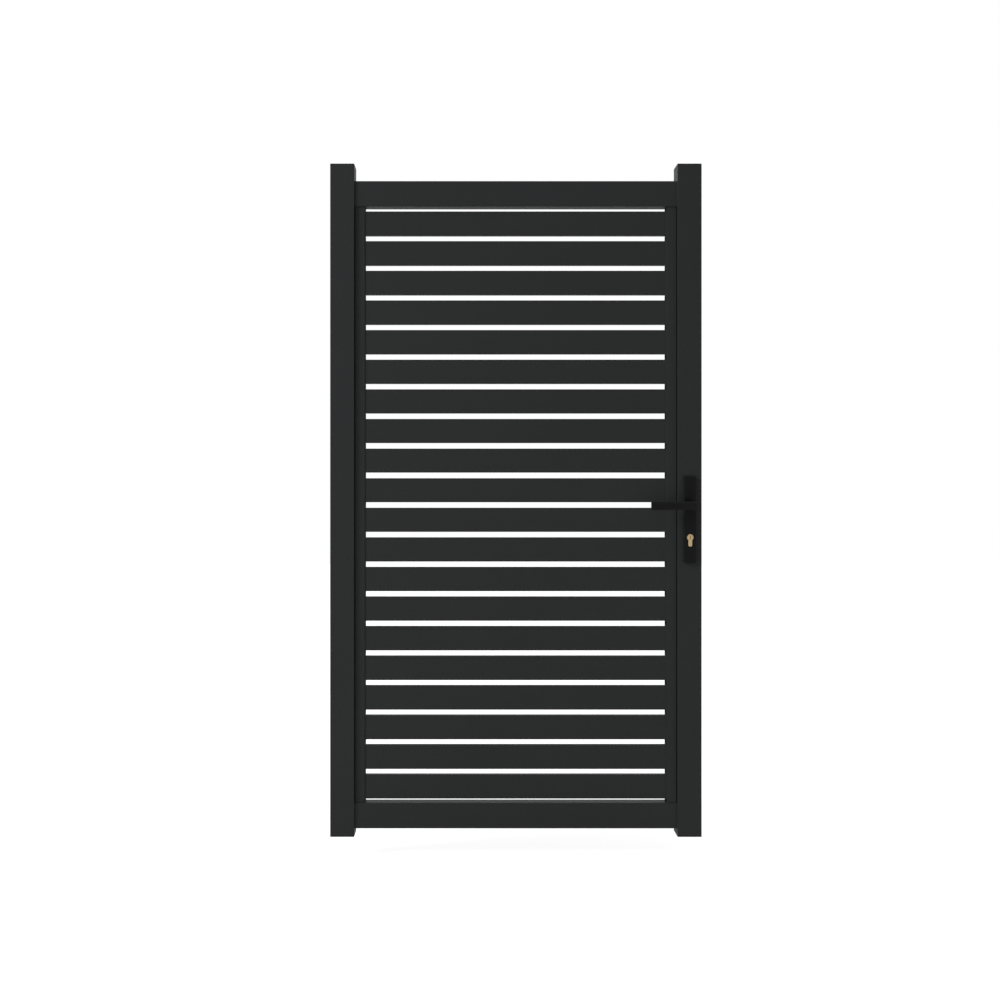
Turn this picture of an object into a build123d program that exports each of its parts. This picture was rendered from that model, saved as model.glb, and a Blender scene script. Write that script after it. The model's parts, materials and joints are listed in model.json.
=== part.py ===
from build123d import *
from math import sqrt
import os

# Slatted aluminium pedestrian gate, one leaf on two rear hinges, sizes in millimetres.
# X runs from the hinge post towards the free edge, Y from the front of the leaf to the rear, Z up.
# The origin lies on the post face of the lower hinge bracket, level with its arm and its pin.

# Leaf
leaf_width = 993.0
leaf_height = 1800.0
post_gap = 8.0

# Stiles, the square uprights
stile_width = 64.4
stile_depth = 64.0
stile_wall = 2.0
stile_corner = 1.0

# Rails
rail_height = 68.0
rail_depth = 40.0
rail_wall = 2.0
rail_corner = 1.0
rail_setback = 5.0
stile_above_rail = 45.7
stile_below_rail = 21.5

# Slotted channels beside the stiles
channel_width = 28.0
channel_depth = 37.0
channel_wall = 1.8
channel_corner = 1.2
channel_setback = 8.0

# Slats
slat_count = 20
slat_height = 64.5
slat_depth = 17.0
slat_wall = 1.4
slat_corner = 0.8
slat_gap_top = 12.3
slat_gap_bottom = 10.4
slat_grip = 14.0
slot_clearance = 0.2

# End caps of the stiles
cap_plate = 3.0
cap_plug = 12.0
cap_edge = 0.8
cap_clearance = 0.2

# Lock plates
plate_width = 32.0
plate_height = 230.0
plate_thickness = 9.0
plate_corner = 1.5
plate_edge = 1.0
plate_above_lever = 77.5
plate_cut_clearance = 0.9
lever_height = 886.0
cylinder_below_lever = 85.0

# Lever on the front, its bar pointing towards the hinges
lever_size = 22.0
lever_reach = 108.5
lever_heel = 9.8
lever_elbow = 33.0
lever_proud = 52.0
lever_arm_depth = 8.5
lever_cant = 5.0
lever_bevel = 4.0
lever_standoff = 4.0
shank_radius = 9.0
shank_clearance = 0.08
shank_seat = 1.5
spindle_size = 8.0
spindle_grip = 20.0
spindle_tail = 6.0
follower_clearance = 2.3

# Fixed pull knob on the rear
knob_base = 24.0
knob_size = 50.0
knob_proud = 50.0
knob_rim = 8.0
knob_bevel = 2.5

# Profile cylinder
cylinder_radius = 8.5
cylinder_tail = 10.0
cylinder_height = 33.0
cylinder_proud = 2.0
cylinder_clearance = 0.3
plug_radius = 6.5
plug_proud = 1.0
plug_clearance = 0.1
plug_depth = 10.0
key_slot_width = 2.6
key_slot_height = 8.5
key_slot_depth = 6.0

# Mortice lock in the free stile
case_width = 46.0
case_height = 170.0
case_depth = 16.0
case_wall = 1.5
case_above_lever = 40.0
forend_width = 22.0
forend_height = 235.0
forend_thickness = 3.0
bolt_head_depth = 11.0
latch_height = 16.0
dead_bolt_height = 34.0
dead_bolt_above_cylinder = 19.0
bolt_clearance = 0.3
bolt_tail = 18.0
cut_clearance = 1.0
overcut = 1.0

# Hinges
hinge_from_end = 230.0
pin_from_post = 30.0
pin_behind_leaf = 32.0
pin_radius = 6.0
pin_clearance = 0.05
pin_end = 4.0
pin_end_chamfer = 1.5
bracket_plate_width = 60.0
bracket_plate_height = 90.0
bracket_plate_thickness = 6.0
bracket_plate_corner = 6.0
bracket_behind_leaf = 14.0
bracket_hole_radius = 5.5
bracket_hole_across = 36.0
bracket_hole_up = 66.0
arm_height = 16.0
boss_radius = 12.0
knuckle_height = 36.0
knuckle_gap = 0.3
strap_width = 46.0
strap_height = 70.0
strap_thickness = 5.0
strap_corner = 5.0
strap_inset = 5.0
strap_hole_radius = 3.3
strap_hole_across = 30.0
strap_hole_up = 52.0

# Places worked out from the sizes above
leaf_left = post_gap
leaf_right = leaf_left + leaf_width
leaf_bottom = -hinge_from_end
leaf_top = leaf_bottom + leaf_height
leaf_rear = -pin_behind_leaf
leaf_front = leaf_rear - stile_depth
upper_hinge = leaf_top - hinge_from_end

inner_left = leaf_left + stile_width
inner_right = leaf_right - stile_width
rail_front = leaf_front + rail_setback
top_rail_low = leaf_top - stile_above_rail - rail_height
bottom_rail_high = leaf_bottom + stile_below_rail + rail_height
channel_front = leaf_front + channel_setback
slat_front = channel_front + channel_wall + slot_clearance
lowest_slat = bottom_rail_high + slat_gap_bottom + slat_height / 2
slat_pitch = (top_rail_low - slat_gap_top - slat_height / 2 - lowest_slat) / (slat_count - 1)

lock_x = leaf_right - stile_width / 2
lever_z = leaf_bottom + lever_height
cylinder_z = lever_z - cylinder_below_lever
dead_bolt_z = cylinder_z + dead_bolt_above_cylinder
plate_front = leaf_front - plate_thickness
plate_rear = leaf_rear + plate_thickness
leaf_middle = (leaf_front + leaf_rear) / 2
bracket_middle = leaf_rear + bracket_behind_leaf + bracket_plate_width / 2


def box(low, high):
    size = [b - a for a, b in zip(low, high)]
    centre = [(a + b) / 2 for a, b in zip(low, high)]
    return Pos(*centre) * Box(*size)


def eased(width, height, corner):
    """Rectangle whose corners are broken by small flats, as on thin drawn sections."""
    outline = Rectangle(width, height)
    return chamfer(outline.vertices(), corner)


def upright_tube(x, y, low, high, width, depth, wall, corner):
    """Rectangular tube standing between two heights, its section centred on x, y."""
    section = RectangleRounded(width, depth, corner) - Rectangle(width - 2 * wall, depth - 2 * wall)
    return Pos(x, y, low) * extrude(section, high - low)


def level_tube(left, right, y, z, depth, height, wall, corner):
    """Rectangular tube lying along X, its section centred on y, z."""
    section = eased(depth, height, corner) - Rectangle(depth - 2 * wall, height - 2 * wall)
    plane = Plane(origin=(left, y, z), x_dir=(0, 1, 0), z_dir=(1, 0, 0))
    return extrude(plane * section, right - left)


def through_y(shape, x, z, front, rear):
    """Extrudes a sketch drawn in X and Z from the front to the rear."""
    plane = Plane(origin=(x, front, z), x_dir=(1, 0, 0), z_dir=(0, -1, 0))
    return extrude(plane * shape, front - rear)


def euro_profile(grow=0.0):
    """Outline of the lock cylinder: a round barrel above a narrower tail with a round end."""
    tail_width = cylinder_tail + 2 * grow
    tail_end = cylinder_radius - cylinder_height + cylinder_tail / 2
    tail = Pos(0, tail_end / 2) * Rectangle(tail_width, -tail_end)
    return Circle(cylinder_radius + grow) + tail + Pos(0, tail_end) * Circle(tail_width / 2)


def make_stile(side):
    """Square tube between its two end caps; the free stile is cut for the lock."""
    x = leaf_left + stile_width / 2 if side == "left" else lock_x
    low = leaf_bottom + cap_plate
    high = leaf_top - cap_plate
    stile = upright_tube(x, leaf_middle, low, high, stile_width, stile_depth, stile_wall, stile_corner)
    if side == "right":
        front = leaf_front - overcut
        rear = leaf_rear + overcut
        stile -= through_y(Circle(shank_radius + cut_clearance), lock_x, lever_z, front, rear)
        stile -= through_y(euro_profile(cut_clearance), lock_x, cylinder_z, front, rear)
        stile -= forend_box(bolt_clearance)
    return stile


def make_cap(side, end):
    """End plate flush with the stile, with a plug that drops into the tube."""
    x = leaf_left + stile_width / 2 if side == "left" else lock_x
    up = 1 if end == "top" else -1
    outer = leaf_top if end == "top" else leaf_bottom
    plate = extrude(eased(stile_width, stile_depth, stile_corner), cap_plate)
    plate = chamfer(plate.faces().sort_by(Axis.Z)[-1].edges(), cap_edge)
    inset = 2 * (stile_wall + cap_clearance)
    plug_section = Rectangle(stile_width - inset, stile_depth - inset)
    hollow_section = offset(plug_section, -stile_wall)
    plug = extrude(plug_section - hollow_section, cap_plug)
    cap = Pos(0, 0, cap_plug) * plate + plug
    if up < 0:
        cap = Rot(180, 0, 0) * cap
    return Pos(x, leaf_middle, outer - up * (cap_plate + cap_plug)) * cap


def make_rail(end):
    """Cross tube between the stiles."""
    low = top_rail_low if end == "top" else bottom_rail_high - rail_height
    y = rail_front + rail_depth / 2
    z = low + rail_height / 2
    return level_tube(inner_left, inner_right, y, z, rail_depth, rail_height, rail_wall, rail_corner)


def slat_centre(number):
    return lowest_slat + (slat_count - number) * slat_pitch


def make_channel(side):
    """Upright tube with a row of slots in its inner wall, one for each slat's end."""
    x = inner_left + channel_width / 2 if side == "left" else inner_right - channel_width / 2
    y = channel_front + channel_depth / 2
    channel = upright_tube(
        x, y, bottom_rail_high, top_rail_low, channel_width, channel_depth, channel_wall, channel_corner
    )
    wall_x = x + channel_width / 2 if side == "left" else x - channel_width / 2
    slot = Box(
        4 * channel_wall, slat_depth + 2 * slot_clearance, slat_height + 2 * slot_clearance
    )
    slot_y = slat_front + slat_depth / 2
    slots = [Pos(wall_x, slot_y, slat_centre(number)) * slot for number in range(1, slat_count + 1)]
    return channel - slots


def make_slat(number):
    """Flat hollow slat whose ends reach into both channels."""
    left = inner_left + channel_width - slat_grip
    right = inner_right - channel_width + slat_grip
    y = slat_front + slat_depth / 2
    z = slat_centre(number)
    return level_tube(left, right, y, z, slat_depth, slat_height, slat_wall, slat_corner)


def forend_box(grow=0.0):
    """Space of the lock's forend, let into the edge of the free stile."""
    half_width = forend_width / 2 + grow
    middle = lever_z + case_above_lever - case_height / 2
    half_height = forend_height / 2 + grow
    return box(
        (leaf_right - forend_thickness, leaf_middle - half_width, middle - half_height),
        (leaf_right + grow, leaf_middle + half_width, middle + half_height),
    )


def bolt_box(z, height, left, right, grow=0.0):
    return box(
        (left, leaf_middle - bolt_head_depth / 2 - grow, z - height / 2 - grow),
        (right, leaf_middle + bolt_head_depth / 2 + grow, z + height / 2 + grow),
    )


def make_forend():
    """Flush plate in the stile's edge with one opening for each bolt."""
    forend = forend_box()
    left = leaf_right - forend_thickness - overcut
    right = leaf_right + overcut
    forend -= bolt_box(lever_z, latch_height, left, right, bolt_clearance)
    forend -= bolt_box(dead_bolt_z, dead_bolt_height, left, right, bolt_clearance)
    return forend


def make_bolt(z, height):
    """Bolt head drawn in, flush with the forend."""
    left = leaf_right - forend_thickness - bolt_tail
    return bolt_box(z, height, left, leaf_right)


def make_case():
    """Thin-walled lock case behind the forend, open for the bolts, spindle and cylinder."""
    right = leaf_right - forend_thickness
    left = right - case_width
    high = lever_z + case_above_lever
    low = high - case_height
    half = case_depth / 2
    case = box((left, leaf_middle - half, low), (right, leaf_middle + half, high))
    case -= box(
        (left + case_wall, leaf_middle - half + case_wall, low + case_wall),
        (right - case_wall, leaf_middle + half - case_wall, high - case_wall),
    )
    mouth_left = right - 2 * case_wall
    case -= bolt_box(lever_z, latch_height, mouth_left, right + overcut, bolt_clearance)
    case -= bolt_box(dead_bolt_z, dead_bolt_height, mouth_left, right + overcut, bolt_clearance)
    front = leaf_middle - case_depth
    rear = leaf_middle + case_depth
    follower_radius = spindle_size * sqrt(0.5) + follower_clearance
    case -= through_y(Circle(follower_radius), lock_x, lever_z, front, rear)
    case -= through_y(euro_profile(cylinder_clearance), lock_x, cylinder_z, front, rear)
    return case


def make_plate(side):
    """Long plate on one face of the free stile, with the lever's bearing and the cylinder's cut-out."""
    near = leaf_front if side == "front" else leaf_rear
    far = plate_front if side == "front" else plate_rear
    low, high = sorted((near, far))
    middle = lever_z + plate_above_lever - plate_height / 2
    plate = through_y(RectangleRounded(plate_width, plate_height, plate_corner), lock_x, middle, low, high)
    outer_edges = plate.faces().sort_by(Axis.Y)[0 if side == "front" else -1].edges()
    plate = chamfer(outer_edges, plate_edge)
    low -= overcut
    high += overcut
    plate -= through_y(Circle(shank_radius + shank_clearance), lock_x, lever_z, low, high)
    return plate - through_y(euro_profile(plate_cut_clearance), lock_x, cylinder_z, low, high)


def make_lever():
    """Square bar: a neck straight out of the plate, an elbow whose face is canted and a level arm."""
    face = plate_front + plate_thickness - lever_proud
    arm_back = face + lever_cant + lever_arm_depth
    neck_end = plate_front - lever_standoff
    heel = lock_x + lever_heel
    inner_heel = lock_x - lever_heel
    tip = lock_x - lever_reach
    outline = Polyline(
        (heel, neck_end),
        (heel, face),
        (heel - lever_elbow, face + lever_cant),
        (tip, face + lever_cant),
        (tip, arm_back),
        (inner_heel, arm_back),
        (inner_heel, neck_end),
        close=True,
    )
    lever = Pos(0, 0, lever_z - lever_size / 2) * extrude(make_face(outline), lever_size)
    front_faces = lever.faces().filter_by(lambda side: side.normal_at().Y < -0.9)
    lever = chamfer(front_faces.edges().filter_by(Axis.Z, reverse=True), lever_bevel)
    shank_back = leaf_front - shank_seat
    lever += through_y(Circle(shank_radius), lock_x, lever_z, neck_end, shank_back)
    socket = Rectangle(spindle_size, spindle_size)
    return lever - through_y(socket, lock_x, lever_z, shank_back - spindle_grip, shank_back + overcut)


def make_spindle():
    """Square bar from the lever through the lock case."""
    front = leaf_front - shank_seat - spindle_grip
    rear = leaf_middle + case_depth / 2 + spindle_tail
    return through_y(Rectangle(spindle_size, spindle_size), lock_x, lever_z, front, rear)


def make_knob():
    """Square knob that flares from the plate to its rim, held by a round spigot in the plate."""
    rim_end = leaf_rear + knob_proud
    flare = rim_end - knob_rim - plate_rear
    knob = through_y(Rectangle(knob_size, knob_size), lock_x, lever_z, plate_rear, rim_end)
    knob = chamfer(knob.faces().sort_by(Axis.Y)[-1].edges(), knob_bevel)
    base = knob.faces().sort_by(Axis.Y)[0]
    knob = chamfer(base.edges(), (knob_size - knob_base) / 2, flare, reference=base)
    return knob + through_y(Circle(shank_radius), lock_x, lever_z, leaf_rear + shank_seat, plate_rear)


def make_cylinder():
    """Double profile cylinder with a round seat in each end for its plug."""
    front = plate_front - cylinder_proud
    rear = plate_rear + cylinder_proud
    cylinder = through_y(euro_profile(), lock_x, cylinder_z, front, rear)
    seat = Circle(plug_radius + plug_clearance)
    cylinder -= through_y(seat, lock_x, cylinder_z, front - overcut, front + plug_depth)
    return cylinder - through_y(seat, lock_x, cylinder_z, rear - plug_depth, rear + overcut)


def make_plug(side):
    """Round plug with a key slot in its face."""
    front = plate_front - cylinder_proud
    rear = plate_rear + cylinder_proud
    if side == "front":
        ends = (front - plug_proud, front + plug_depth)
        slot_ends = (ends[0] - overcut, ends[0] + key_slot_depth)
    else:
        ends = (rear - plug_depth, rear + plug_proud)
        slot_ends = (ends[1] - key_slot_depth, ends[1] + overcut)
    plug = through_y(Circle(plug_radius), lock_x, cylinder_z, *ends)
    slot = Rectangle(key_slot_width, key_slot_height)
    return plug - through_y(slot, lock_x, cylinder_z, *slot_ends)


def make_bracket(z):
    """Post plate with an arm, a boss and an upright hinge pin."""
    plane = Plane(origin=(0, bracket_middle, z), x_dir=(0, 1, 0), z_dir=(1, 0, 0))
    section = RectangleRounded(bracket_plate_width, bracket_plate_height, bracket_plate_corner)
    with_holes = section - [
        Pos(across * bracket_hole_across / 2, up * bracket_hole_up / 2) * Circle(bracket_hole_radius)
        for across in (-1, 1)
        for up in (-1, 1)
    ]
    bracket = extrude(plane * with_holes, bracket_plate_thickness)
    low = z - arm_height / 2
    arm = box(
        (bracket_plate_thickness, -boss_radius, low), (pin_from_post, boss_radius, low + arm_height)
    )
    boss = Pos(pin_from_post, 0, z) * Cylinder(boss_radius, arm_height)
    pin_length = knuckle_gap + knuckle_height + pin_end
    pin = Pos(pin_from_post, 0, z + arm_height / 2 + pin_length / 2) * Cylinder(pin_radius, pin_length)
    pin = chamfer(pin.edges().sort_by(Axis.Z)[-1], pin_end_chamfer)
    return bracket + arm + boss + pin


def make_strap(z):
    """Plate on the rear of the hinge stile with a knuckle that turns on the pin."""
    knuckle_low = z + arm_height / 2 + knuckle_gap
    middle = knuckle_low + knuckle_height / 2
    left = leaf_left + strap_inset
    plane = Plane(origin=(left + strap_width / 2, leaf_rear, middle), x_dir=(1, 0, 0), z_dir=(0, 1, 0))
    section = RectangleRounded(strap_width, strap_height, strap_corner)
    with_holes = section - [
        Pos(across * strap_hole_across / 2, up * strap_hole_up / 2) * Circle(strap_hole_radius)
        for across in (-1, 1)
        for up in (-1, 1)
    ]
    strap = extrude(plane * with_holes, strap_thickness)
    web = box(
        (pin_from_post - pin_radius, leaf_rear + strap_thickness, knuckle_low),
        (pin_from_post + pin_radius, 0, knuckle_low + knuckle_height),
    )
    knuckle = Pos(pin_from_post, 0, middle) * Cylinder(boss_radius, knuckle_height)
    bore = Pos(pin_from_post, 0, middle) * Cylinder(pin_radius + pin_clearance, knuckle_height + overcut)
    return strap + web + knuckle - bore


parts = {
    "hinge_bracket_lower": make_bracket(0),
    "hinge_bracket_upper": make_bracket(upper_hinge),
    "hinge_strap_lower": make_strap(0),
    "hinge_strap_upper": make_strap(upper_hinge),
    "lock_case": make_case(),
    "lock_forend": make_forend(),
    "latch_bolt": make_bolt(lever_z, latch_height),
    "dead_bolt": make_bolt(dead_bolt_z, dead_bolt_height),
    "lock_plate_front": make_plate("front"),
    "lock_plate_rear": make_plate("rear"),
    "cylinder": make_cylinder(),
    "cylinder_plug_front": make_plug("front"),
    "cylinder_plug_rear": make_plug("rear"),
    "spindle": make_spindle(),
    "lever_front": make_lever(),
    "knob_rear": make_knob(),
}
for side in ("left", "right"):
    parts["stile_" + side] = make_stile(side)
    parts["channel_" + side] = make_channel(side)
    for end in ("top", "bottom"):
        parts["cap_" + end + "_" + side] = make_cap(side, end)
for end in ("top", "bottom"):
    parts[end + "_rail"] = make_rail(end)
for number in range(1, slat_count + 1):
    parts["slat_" + str(number).zfill(2)] = make_slat(number)

os.makedirs("parts", exist_ok=True)
for name, shape in parts.items():
    export_step(shape, "parts/" + name + ".step")
print(len(parts), "parts written")
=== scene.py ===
import json
import math

import bmesh
import bpy
from mathutils import Matrix, Vector


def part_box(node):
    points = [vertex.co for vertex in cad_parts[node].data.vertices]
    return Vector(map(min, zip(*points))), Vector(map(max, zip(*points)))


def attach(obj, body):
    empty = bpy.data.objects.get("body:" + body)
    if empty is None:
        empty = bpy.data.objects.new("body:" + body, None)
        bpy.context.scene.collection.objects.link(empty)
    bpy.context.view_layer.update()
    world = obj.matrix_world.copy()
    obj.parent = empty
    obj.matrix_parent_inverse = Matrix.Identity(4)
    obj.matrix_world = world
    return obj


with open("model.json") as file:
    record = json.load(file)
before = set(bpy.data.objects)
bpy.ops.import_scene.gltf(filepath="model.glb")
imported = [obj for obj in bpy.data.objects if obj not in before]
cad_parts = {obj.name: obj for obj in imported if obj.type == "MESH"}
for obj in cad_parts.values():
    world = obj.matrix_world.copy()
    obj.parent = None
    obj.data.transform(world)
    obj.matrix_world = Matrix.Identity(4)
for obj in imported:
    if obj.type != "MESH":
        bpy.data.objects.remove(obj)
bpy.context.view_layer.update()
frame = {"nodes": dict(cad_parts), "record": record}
print("frame loaded:", len(frame["nodes"]), "nodes")

# Faces of the leaf and its lock that the camera, the lamp and the small fittings are set out from
stileLow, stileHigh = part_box("stile_left")
lockLow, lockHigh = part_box("lock_plate_front")
plugLow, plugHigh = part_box("cylinder_plug_front")
leafFront = stileLow.y
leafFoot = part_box("cap_bottom_left")[0].z
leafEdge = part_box("stile_right")[1].x
leafMiddle = Vector(((stileLow.x + leafEdge) / 2, leafFront, (stileLow.z + stileHigh.z) / 2))
lockX = (lockLow.x + lockHigh.x) / 2
plugX = (plugLow.x + plugHigh.x) / 2
plugZ = (plugLow.z + plugHigh.z) / 2

# The camera stands straight in front of the leaf, left of its middle and a little above half height
view = {
    "fromHingeSide": 0.3658,
    "aboveLeafFoot": 0.9541,
    "distance": 3.45,
    "lens": 46.475,
    "sensor": 36,
    "shiftX": 0.033,
    "shiftY": -0.020,
}


def makeCamera():
    data = bpy.data.cameras.new("camera")
    data.lens = view["lens"]
    data.sensor_width = view["sensor"]
    data.shift_x = view["shiftX"]
    data.shift_y = view["shiftY"]
    camera = bpy.data.objects.new("camera", data)
    camera.location = (
        stileLow.x + view["fromHingeSide"],
        leafFront - view["distance"],
        leafFoot + view["aboveLeafFoot"],
    )
    camera.rotation_euler = (math.radians(90), 0, 0)
    bpy.context.scene.collection.objects.link(camera)
    bpy.context.scene.camera = camera
    bpy.context.scene.view_settings.view_transform = "Standard"


makeCamera()
print("camera set")

# Studio: a dim wall behind the camera, a white one behind the leaf, a soft ceiling over both
# and one broad lamp, far off on the upper left; the camera itself sees plain white all round
studio = {
    "front": (0.36, 0.17),  # radiance of the wall behind the camera, at its left and at its right
    "back": 1.0,  # radiance of the wall behind the leaf
    "ceiling": 0.40,  # radiance that the ceiling adds
    "frontFade": (-0.35, 0.35),  # from left to right, as the x of a direction
    "backFade": (-0.4, 0.4),  # from front to back, as its y
    "ceilingFade": (0.25, 0.9),  # from the walls to straight up, as its z
    "keyPlace": (-11.3, -5.4, 6.8),  # from the middle of the leaf
    "keySize": 6.0,  # diameter of the lamp
    "keyPower": 1400.0,
    "floorGap": 0.06,  # the floor lies this far under the leaf, which hangs on its post
    "floorSize": 12.0,  # from its middle to each side
    "floorShade": 0.60,
    "floorGlow": 0.56,  # brings the floor up to white for the camera
    "floorMirrored": 0.40,  # share of the glow that reflections see
}


def grey(level):
    return (level, level, level, 1)


def addFade(nodes, links, direction, bounds):
    # a smooth step along one axis of the direction that a ray looks in
    fade = nodes.new("ShaderNodeMapRange")
    fade.interpolation_type = "SMOOTHSTEP"
    fade.inputs["From Min"].default_value, fade.inputs["From Max"].default_value = bounds
    links.new(direction, fade.inputs["Value"])
    return fade


def makeWorld():
    world = bpy.data.worlds.new("studio")
    bpy.context.scene.world = world
    world.use_nodes = True
    nodes = world.node_tree.nodes
    links = world.node_tree.links
    background = nodes["Background"]
    background.inputs["Color"].default_value = grey(1)
    place = nodes.new("ShaderNodeTexCoord")
    split = nodes.new("ShaderNodeSeparateXYZ")
    links.new(place.outputs["Generated"], split.inputs[0])
    front = addFade(nodes, links, split.outputs["X"], studio["frontFade"])
    front.inputs["To Min"].default_value, front.inputs["To Max"].default_value = studio["front"]
    walls = addFade(nodes, links, split.outputs["Y"], studio["backFade"])
    links.new(front.outputs["Result"], walls.inputs["To Min"])
    walls.inputs["To Max"].default_value = studio["back"]
    ceiling = addFade(nodes, links, split.outputs["Z"], studio["ceilingFade"])
    ceiling.inputs["To Max"].default_value = studio["ceiling"]
    room = nodes.new("ShaderNodeMath")
    links.new(walls.outputs["Result"], room.inputs[0])
    links.new(ceiling.outputs["Result"], room.inputs[1])
    seen = nodes.new("ShaderNodeLightPath")
    pick = nodes.new("ShaderNodeMix")
    pick.inputs["B"].default_value = 1.0
    links.new(seen.outputs["Is Camera Ray"], pick.inputs["Factor"])
    links.new(room.outputs[0], pick.inputs["A"])
    links.new(pick.outputs["Result"], background.inputs["Strength"])


def makeKey():
    data = bpy.data.lights.new("key", "AREA")
    data.shape = "DISK"
    data.size = studio["keySize"]
    data.energy = studio["keyPower"]
    key = bpy.data.objects.new("key", data)
    away = Vector(studio["keyPlace"])
    key.location = leafMiddle + away
    key.rotation_euler = (-away).to_track_quat("-Z", "Y").to_euler()
    bpy.context.scene.collection.objects.link(key)


def paintFloor():
    material = bpy.data.materials.new("palefloor")
    material.use_nodes = True
    nodes = material.node_tree.nodes
    links = material.node_tree.links
    paint = nodes["Principled BSDF"]
    paint.inputs["Base Color"].default_value = grey(studio["floorShade"])
    paint.inputs["Roughness"].default_value = 1.0
    paint.inputs["Specular IOR Level"].default_value = 0
    glow = nodes.new("ShaderNodeEmission")
    glow.inputs["Color"].default_value = grey(studio["floorGlow"])
    seen = nodes.new("ShaderNodeLightPath")
    share = nodes.new("ShaderNodeMath")
    share.operation = "MULTIPLY_ADD"
    links.new(seen.outputs["Is Glossy Ray"], share.inputs[0])
    share.inputs[1].default_value = studio["floorMirrored"]
    links.new(seen.outputs["Is Camera Ray"], share.inputs[2])
    links.new(share.outputs[0], glow.inputs["Strength"])
    both = nodes.new("ShaderNodeAddShader")
    links.new(paint.outputs[0], both.inputs[0])
    links.new(glow.outputs[0], both.inputs[1])
    links.new(both.outputs[0], nodes["Material Output"].inputs["Surface"])
    return material


def makeFloor():
    shape = bmesh.new()
    bmesh.ops.create_grid(shape, x_segments=1, y_segments=1, size=studio["floorSize"])
    bmesh.ops.translate(shape, verts=shape.verts, vec=(lockX / 2, 0, leafFoot - studio["floorGap"]))
    mesh = bpy.data.meshes.new("floor")
    shape.to_mesh(mesh)
    shape.free()
    mesh.materials.append(paintFloor())
    floor = bpy.data.objects.new("floor", mesh)
    bpy.context.scene.collection.objects.link(floor)


makeWorld()
makeKey()
makeFloor()
print("studio lit")


def newCoat(name, values):
    material = bpy.data.materials.new(name)
    material.use_nodes = True
    tree = material.node_tree
    paint = tree.nodes["Principled BSDF"]
    paint.inputs["Metallic"].default_value = values.get("metal", 0.0)
    paint.inputs["Specular IOR Level"].default_value = values.get("specular", 0.5)
    place = tree.nodes.new("ShaderNodeTexCoord")
    return material, tree, paint, place.outputs["Object"]


def addNoise(tree, source, pattern):
    # the scale is in turns per metre
    noise = tree.nodes.new("ShaderNodeTexNoise")
    noise.inputs["Scale"].default_value = pattern["scale"]
    noise.inputs["Detail"].default_value = pattern["detail"]
    noise.inputs["Roughness"].default_value = pattern.get("roughness", 0.5)
    tree.links.new(source, noise.inputs["Vector"])
    return noise.outputs["Fac"]


# Noise seldom leaves this span, so tones and roughness change from its one end to the other
noiseSpan = (0.3, 0.7)


def addTone(tree, factor, paint, shade, spread):
    # the base colour drifts between a darker and a lighter tone
    tone = tree.nodes.new("ShaderNodeValToRGB")
    low, high = tone.color_ramp.elements
    low.position, high.position = noiseSpan
    low.color = (*[part * (1 - spread) for part in shade], 1)
    high.color = (*[part * (1 + spread) for part in shade], 1)
    tree.links.new(factor, tone.inputs["Fac"])
    tree.links.new(tone.outputs["Color"], paint.inputs["Base Color"])


def addRoughness(tree, factor, paint, bounds):
    change = tree.nodes.new("ShaderNodeMapRange")
    change.inputs["From Min"].default_value, change.inputs["From Max"].default_value = noiseSpan
    change.inputs["To Min"].default_value, change.inputs["To Max"].default_value = bounds
    tree.links.new(factor, change.inputs["Value"])
    tree.links.new(change.outputs["Result"], paint.inputs["Roughness"])


def addBump(tree, height, pattern, before=None):
    bump = tree.nodes.new("ShaderNodeBump")
    bump.inputs["Strength"].default_value = pattern["strength"]
    bump.inputs["Distance"].default_value = pattern["depth"]
    tree.links.new(height, bump.inputs["Height"])
    if before:
        tree.links.new(before, bump.inputs["Normal"])
    return bump.outputs["Normal"]


def plainCoat(name, values):
    # a coat with a drift of tone, a change of gloss and one fine grain
    material, tree, paint, spot = newCoat(name, values)
    drift = addNoise(tree, spot, values["drift"])
    addTone(tree, drift, paint, values["shade"], values["drift"]["spread"])
    addRoughness(tree, addNoise(tree, spot, values["gloss"]), paint, values["rough"])
    grain = addBump(tree, addNoise(tree, spot, values["grain"]), values["grain"])
    tree.links.new(grain, paint.inputs["Normal"])
    return material


# Powder coats: a soft orange peel, a fine dry grain on it and a slow drift of tone
powderCoats = {
    "frame": {"shade": (0.0154, 0.0165, 0.0169), "rough": (0.56, 0.66), "grainStrength": 0.30},
    "slat": {"shade": (0.0152, 0.0162, 0.0165), "rough": (0.56, 0.66), "grainStrength": 0.30},
    "hinge_steel": {"shade": (0.0150, 0.0160, 0.0164), "rough": (0.56, 0.68), "grainStrength": 0.40},
}
powderTexture = {
    "specular": 0.27,
    "drift": {"scale": 5.0, "detail": 3.0, "spread": 0.05},
    "gloss": {"scale": 140.0, "detail": 3.0},
    "peel": {"scale": 420.0, "detail": 1.0, "strength": 0.22, "depth": 0.00025},
    "grain": {"scale": 1900.0, "detail": 4.0, "roughness": 0.65, "depth": 0.00012},
}


def powderCoat(name, values):
    material, tree, paint, spot = newCoat(name, powderTexture)
    drift = addNoise(tree, spot, powderTexture["drift"])
    addTone(tree, drift, paint, values["shade"], powderTexture["drift"]["spread"])
    addRoughness(tree, addNoise(tree, spot, powderTexture["gloss"]), paint, values["rough"])
    peel = addBump(tree, addNoise(tree, spot, powderTexture["peel"]), powderTexture["peel"])
    grain = {**powderTexture["grain"], "strength": values["grainStrength"]}
    tree.links.new(addBump(tree, addNoise(tree, spot, grain), grain, peel), paint.inputs["Normal"])
    return material


# Moulded caps: a light sparked grain, a little softer than the coats beside them
capPlastic = {
    "shade": (0.0150, 0.0160, 0.0164),
    "rough": (0.60, 0.70),
    "specular": 0.25,
    "drift": {"scale": 22.0, "detail": 2.0, "spread": 0.06},
    "gloss": {"scale": 320.0, "detail": 2.0},
    "spark": {"scale": 1500.0, "strength": 0.35, "depth": 0.00012},
}


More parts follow.
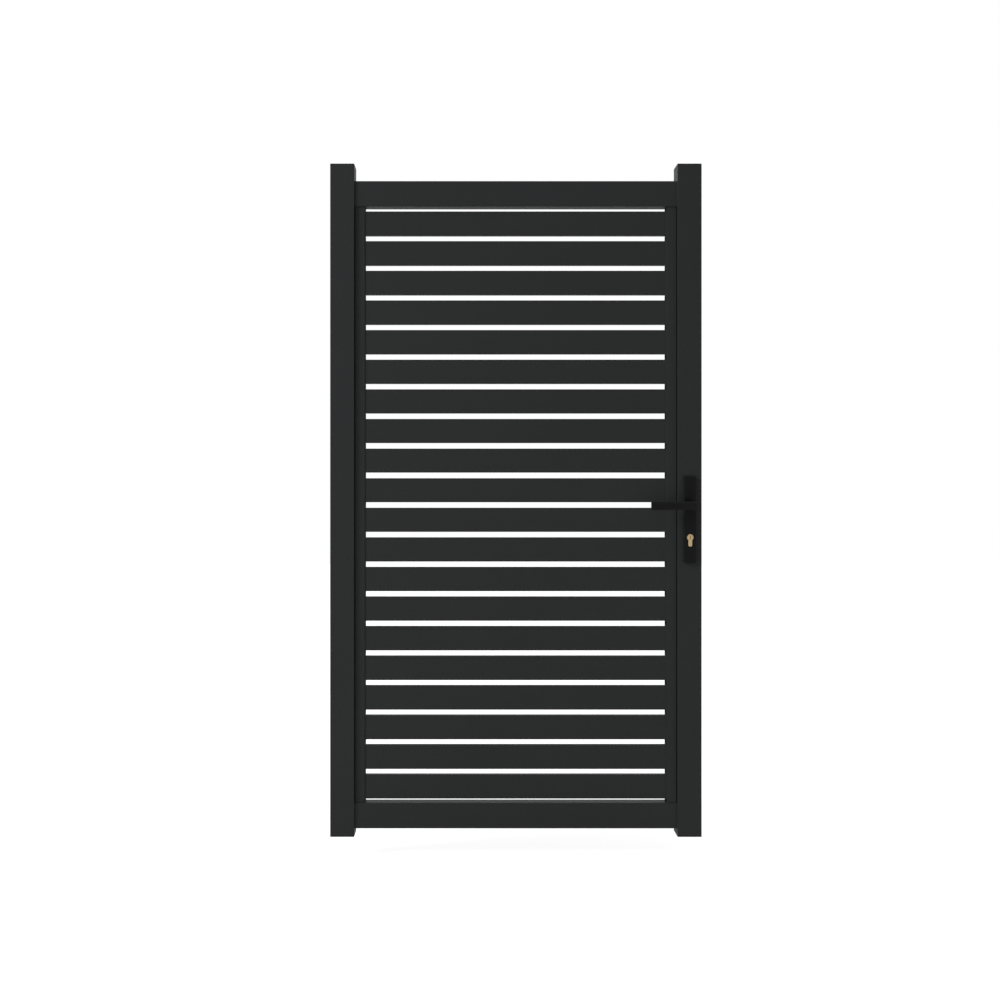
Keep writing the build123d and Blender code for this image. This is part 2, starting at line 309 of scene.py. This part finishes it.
def mouldedCap(name, values):
    material, tree, paint, spot = newCoat(name, values)
    drift = addNoise(tree, spot, values["drift"])
    addTone(tree, drift, paint, values["shade"], values["drift"]["spread"])
    addRoughness(tree, addNoise(tree, spot, values["gloss"]), paint, values["rough"])
    cells = tree.nodes.new("ShaderNodeTexVoronoi")
    cells.inputs["Scale"].default_value = values["spark"]["scale"]
    tree.links.new(spot, cells.inputs["Vector"])
    spark = addBump(tree, cells.outputs["Distance"], values["spark"])
    tree.links.new(spark, paint.inputs["Normal"])
    return material


# Satin black of the lever, the knob and their plates
satinBlack = {
    "shade": (0.0036, 0.0036, 0.0037),
    "rough": (0.44, 0.52),
    "specular": 0.16,
    "drift": {"scale": 30.0, "detail": 3.0, "spread": 0.08},
    "gloss": {"scale": 260.0, "detail": 4.0},
    "grain": {"scale": 2600.0, "detail": 3.0, "roughness": 0.6, "strength": 0.10, "depth": 0.0001},
}

# Black of the seal strips, painted shade for the channel's corners and gaps, dull with dust
shadeSealBlack = {
    "shade": (0.0022, 0.0022, 0.0023),
    "rough": (0.80, 0.90),
    "specular": 0.05,
    "drift": {"scale": 90.0, "detail": 3.0, "spread": 0.12},
    "gloss": {"scale": 500.0, "detail": 3.0},
    "grain": {"scale": 2400.0, "detail": 3.0, "roughness": 0.6, "strength": 0.3, "depth": 0.0001},
}

# Brushed steel: scratches along one way, smeared highlights across it
brushedSteel = {
    "shade": (0.50, 0.50, 0.49),
    "rough": (0.24, 0.40),
    "metal": 1.0,
    "smear": 0.5,
    "squeeze": (1.0, 1.0, 0.02),
    "lines": {"scale": 3200.0, "detail": 5.0, "roughness": 0.7, "spread": 0.14},
    "scratch": {"strength": 0.25, "depth": 0.00008},
    "smudge": {"scale": 60.0, "detail": 3.0},
}


def brushedCoat(name, values):
    material, tree, paint, spot = newCoat(name, values)
    paint.inputs["Anisotropic"].default_value = values["smear"]
    stretch = tree.nodes.new("ShaderNodeMapping")
    stretch.inputs["Scale"].default_value = values["squeeze"]
    tree.links.new(spot, stretch.inputs["Vector"])
    lines = addNoise(tree, stretch.outputs["Vector"], values["lines"])
    addTone(tree, lines, paint, values["shade"], values["lines"]["spread"])
    addRoughness(tree, addNoise(tree, spot, values["smudge"]), paint, values["rough"])
    tree.links.new(addBump(tree, lines, values["scratch"]), paint.inputs["Normal"])
    return material


# Brass of the profile cylinder, faced on a lathe: rings round the plug, slightly dulled
turnedBrass = {
    "cylinder": {"shade": (0.64, 0.49, 0.27), "rough": (0.38, 0.50), "metal": 0.55},
    "plug": {"shade": (0.66, 0.50, 0.28), "rough": (0.36, 0.48), "metal": 0.55},
}
brassTexture = {
    "patina": {"scale": 180.0, "detail": 4.0, "roughness": 0.6, "spread": 0.10},
    "rings": {"scale": 900.0, "distortion": 2.0, "detail": 3.0, "strength": 0.12, "depth": 0.0001},
}


def brassCoat(name, values):
    material, tree, paint, spot = newCoat(name, values)
    centre = tree.nodes.new("ShaderNodeMapping")
    centre.inputs["Location"].default_value = (-plugX, 0, -plugZ)
    tree.links.new(spot, centre.inputs["Vector"])
    patina = addNoise(tree, centre.outputs["Vector"], brassTexture["patina"])
    addTone(tree, patina, paint, values["shade"], brassTexture["patina"]["spread"])
    addRoughness(tree, patina, paint, values["rough"])
    rings = tree.nodes.new("ShaderNodeTexWave")
    rings.wave_type = "RINGS"
    rings.rings_direction = "Y"
    rings.inputs["Scale"].default_value = brassTexture["rings"]["scale"]
    rings.inputs["Distortion"].default_value = brassTexture["rings"]["distortion"]
    rings.inputs["Detail"].default_value = brassTexture["rings"]["detail"]
    tree.links.new(centre.outputs["Vector"], rings.inputs["Vector"])
    tree.links.new(addBump(tree, rings.outputs["Fac"], brassTexture["rings"]), paint.inputs["Normal"])
    return material


materials = {name: powderCoat(name, values) for name, values in powderCoats.items()}
materials["cap"] = mouldedCap("cap", capPlastic)
materials["lock_black"] = plainCoat("lock_black", satinBlack)
materials["lock_steel"] = brushedCoat("lock_steel", brushedSteel)
materials["brass"] = brassCoat("brass", turnedBrass["cylinder"])
materials["plug"] = brassCoat("plug", turnedBrass["plug"])
# the black that paints shade on the channel's strips
materials["shade_seal"] = plainCoat("shade_seal", shadeSealBlack)

for part in frame["record"]["subparts"]:
    node = frame["nodes"][part["node"]]
    coat = "plug" if "plug" in part["node"] else part["material_slot"]
    node.data.materials.clear()
    node.data.materials.append(materials[coat])
print("materials set")

sharpAngle = 35  # degrees between two faces, past which their edge stays sharp


def finishPiece(name, shape, body, slot, coat=None):
    # turns a bmesh into a piece that rides on a body; its coat is its slot's own unless one is named
    bmesh.ops.recalc_face_normals(shape, faces=shape.faces)
    for edge in shape.edges:
        edge.smooth = edge.calc_face_angle(math.pi) < math.radians(sharpAngle)
    for face in shape.faces:
        face.smooth = True
    mesh = bpy.data.meshes.new(name)
    shape.to_mesh(mesh)
    shape.free()
    mesh.materials.append(materials[coat or slot])
    piece = bpy.data.objects.new(name, mesh)
    bpy.context.scene.collection.objects.link(piece)
    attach(piece, body)


def facing(direction, place):
    # turns a shape made along Z to look the given way and moves it to its place
    turn = Vector(direction).to_track_quat("Z", "Y").to_matrix().to_4x4()
    return Matrix.Translation(place) @ turn


# Rounding of every screw head: each step goes in by a share of the radius and up by a share of the dome
screwHead = {
    "sides": 24,
    "shoulderIn": 0.16,
    "shoulderUp": 0.6,
    "crownIn": 0.22,
    "crownUp": 0.4,
    "rimIn": 0.12,
    "socketSides": 6,
    "socketDraft": 0.06,  # the socket narrows towards its floor by this share
}


def addScrew(shape, values, direction, place):
    # round head with a hexagonal socket, seated at the place and standing out along the direction
    before = set(shape.verts)
    radius, edge, socket = values["radius"], values["edge"], values["socket"]
    bmesh.ops.create_cone(
        shape, cap_ends=True, segments=screwHead["sides"], radius1=radius, radius2=radius, depth=edge,
        matrix=Matrix.Translation((0, 0, edge / 2)),
    )
    made = [vert for vert in shape.verts if vert not in before]
    faces = {face for vert in made for face in vert.link_faces}
    top = max(faces, key=lambda face: face.calc_center_median().z)
    dome = values["height"] - edge
    for step in ("shoulder", "crown"):
        inward, upward = radius * screwHead[step + "In"], dome * screwHead[step + "Up"]
        bmesh.ops.inset_region(shape, faces=[top], thickness=inward, depth=upward)
    bmesh.ops.inset_region(shape, faces=[top], thickness=radius * screwHead["rimIn"])
    turn = 2 * math.pi / screwHead["socketSides"]
    for vert in top.verts:
        fromFlat = math.atan2(vert.co.y, vert.co.x) % turn - turn / 2
        vert.co.xy = vert.co.xy.normalized() * socket / math.cos(fromFlat)
    bmesh.ops.inset_region(
        shape, faces=[top], thickness=socket * screwHead["socketDraft"], depth=-values["deep"],
    )
    made = [vert for vert in shape.verts if vert not in before]
    bmesh.ops.transform(shape, matrix=facing(direction, place), verts=made)


# Button-head screws that hold the hinge straps to the back of the hinge stile
strapScrews = {
    "radius": 0.0052, "edge": 0.0008, "height": 0.0033, "socket": 0.0019, "deep": 0.0018,
    "plate": 0.005,  # thickness of the strap's plate under the heads
    "across": 0.030, "up": 0.052,  # spacing of the four screws
}


def makeStrapScrews():
    for end in ("lower", "upper"):
        shape = bmesh.new()
        low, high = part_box("hinge_strap_" + end)
        middleX, middleZ = (low.x + high.x) / 2, (low.z + high.z) / 2
        for right in (-0.5, 0.5):
            for up in (-0.5, 0.5):
                place = (
                    middleX + right * strapScrews["across"],
                    low.y + strapScrews["plate"],
                    middleZ + up * strapScrews["up"],
                )
                addScrew(shape, strapScrews, (0, 1, 0), place)
        finishPiece("hinge_screws_" + end, shape, "leaf", "lock_steel")


makeStrapScrews()
print("hinge screws made")

# Two screws through the rear plate, near its ends
plateScrews = {
    "radius": 0.0042, "edge": 0.0003, "height": 0.0012, "socket": 0.0016, "deep": 0.0010,
    "fromEnd": 0.0135,
}


def makePlateScrews():
    shape = bmesh.new()
    low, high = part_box("lock_plate_rear")
    for z in (low.z + plateScrews["fromEnd"], high.z - plateScrews["fromEnd"]):
        addScrew(shape, plateScrews, (0, 1, 0), (lockX, high.y, z))
    finishPiece("plate_screws_rear", shape, "leaf", "lock_black")


makePlateScrews()
print("plate screws made")

# Screws of the forend: one near each end and the long one that holds the cylinder
forendScrews = {
    "radius": 0.0043, "edge": 0.0002, "height": 0.0005, "socket": 0.0016, "deep": 0.0004,
    "fromEnd": 0.010, "underCylinder": 0.0165,
}


def makeForendScrews():
    shape = bmesh.new()
    low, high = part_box("lock_forend")
    middleY = (low.y + high.y) / 2
    heights = (
        low.z + forendScrews["fromEnd"],
        plugZ - forendScrews["underCylinder"],
        high.z - forendScrews["fromEnd"],
    )
    for z in heights:
        addScrew(shape, forendScrews, (1, 0, 0), (high.x, middleY, z))
    finishPiece("forend_screws", shape, "leaf", "lock_steel")


makeForendScrews()
print("forend screws made")

# Grub screw in the underside of the lever's neck
grubScrew = {
    "radius": 0.0024, "edge": 0.0002, "height": 0.0004, "socket": 0.0012, "deep": 0.0018,
    "fromPlate": 0.012,
}


def makeGrubScrew():
    shape = bmesh.new()
    place = (lockX, lockLow.y - grubScrew["fromPlate"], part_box("lever_front")[0].z)
    addScrew(shape, grubScrew, (0, 0, -1), place)
    finishPiece("lever_grub_screw", shape, "handle", "lock_steel")


makeGrubScrew()
print("grub screw made")

# Painted shade: black strips put where shade falls, a bead in the corner between stile and channel
# where the stile's shadow and the crease's shade lie, and pads on the channel's wall in every gap
# above, below and between the slats, where the open channel lies in shade
channelShadeSeals = {
    "beadWidth": 0.0022, "beadProud": 0.0006, "padThick": 0.0004, "padInset": 0.0022, "endGap": 0.0002,
}


def addBlock(shape, low, high, easing):
    # a block between two corners with its edges rounded
    before = set(shape.faces)
    middle = [(a + b) / 2 for a, b in zip(low, high)]
    size = [b - a for a, b in zip(low, high)]
    matrix = Matrix.Translation(middle) @ Matrix.Diagonal((*size, 1))
    bmesh.ops.create_cube(shape, size=1, matrix=matrix)
    edges = {edge for face in shape.faces if face not in before for edge in face.edges}
    bmesh.ops.bevel(
        shape, geom=list(edges), offset=easing, segments=2, profile=0.5, affect="EDGES", material=-1,
    )


def makeChannelSeals():
    count = sum(name.startswith("slat_") for name in frame["nodes"])
    slats = [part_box("slat_" + str(number).zfill(2)) for number in range(count, 0, -1)]  # lowest first
    for side, inward in (("left", 1), ("right", -1)):
        shape = bmesh.new()
        low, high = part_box("channel_" + side)
        stileSide = low.x if inward > 0 else high.x
        slatSide = high.x if inward > 0 else low.x
        beadEnd = stileSide + inward * channelShadeSeals["beadWidth"]
        beadLow = (min(stileSide, beadEnd), low.y - channelShadeSeals["beadProud"], low.z)
        beadHigh = (max(stileSide, beadEnd), low.y + channelShadeSeals["beadWidth"], high.z)
        # the bead is painted shade: a black strip where the stile's shadow falls on the channel
        addBlock(shape, beadLow, beadHigh, channelShadeSeals["beadProud"] / 2)
        floors = [low.z] + [slat[1].z for slat in slats]
        tops = [slat[0].z for slat in slats] + [high.z]
        padEnd = slatSide + inward * channelShadeSeals["padThick"]
        # each pad is painted shade: a black sheet on the channel's wall where the open channel lies in
        # shade
        for floor, top in zip(floors, tops):
            padLow = (
                min(slatSide, padEnd), low.y + channelShadeSeals["padInset"], floor + channelShadeSeals["endGap"],
            )
            padHigh = (
                max(slatSide, padEnd), high.y - channelShadeSeals["padInset"], top - channelShadeSeals["endGap"],
            )
            addBlock(shape, padLow, padHigh, channelShadeSeals["padThick"] / 3)
        # the strips take the black that paints this shade
        finishPiece("channel_shade_seals_" + side, shape, "leaf", "cap", "shade_seal")


makeChannelSeals()
print("channel seals made")

# Spring rings that keep the knuckles on their pins
pinRing = {
    "inner": 0.0060, "outer": 0.0092, "thick": 0.0012,
    "gap": 40,  # degrees left open
    "sides": 8, "steps": 40,
    "pinFromPost": 0.030, "belowPinTop": 0.0026,
}


def makePinRings():
    flat = pinRing["thick"] / 2
    width = (pinRing["outer"] - pinRing["inner"]) / 2
    for end in ("lower", "upper"):
        shape = bmesh.new()
        made = bmesh.ops.create_circle(shape, cap_ends=True, segments=pinRing["sides"], radius=flat)
        section = made["verts"]
        bmesh.ops.scale(shape, verts=section, vec=(width / flat, 1, 1))
        bmesh.ops.rotate(shape, verts=section, matrix=Matrix.Rotation(math.radians(90), 3, "X"))
        bmesh.ops.translate(shape, verts=section, vec=(pinRing["inner"] + width, 0, 0))
        bmesh.ops.spin(
            shape, geom=list(shape.faces), cent=(0, 0, 0), axis=(0, 0, 1), steps=pinRing["steps"],
            use_duplicate=False, angle=math.radians(360 - pinRing["gap"]),
        )
        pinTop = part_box("hinge_bracket_" + end)[1].z
        place = (pinRing["pinFromPost"], 0, pinTop - pinRing["belowPinTop"])
        bmesh.ops.translate(shape, verts=shape.verts, vec=place)
        finishPiece("pin_ring_" + end, shape, "post_brackets", "lock_steel")


makePinRings()
print("pin rings made")
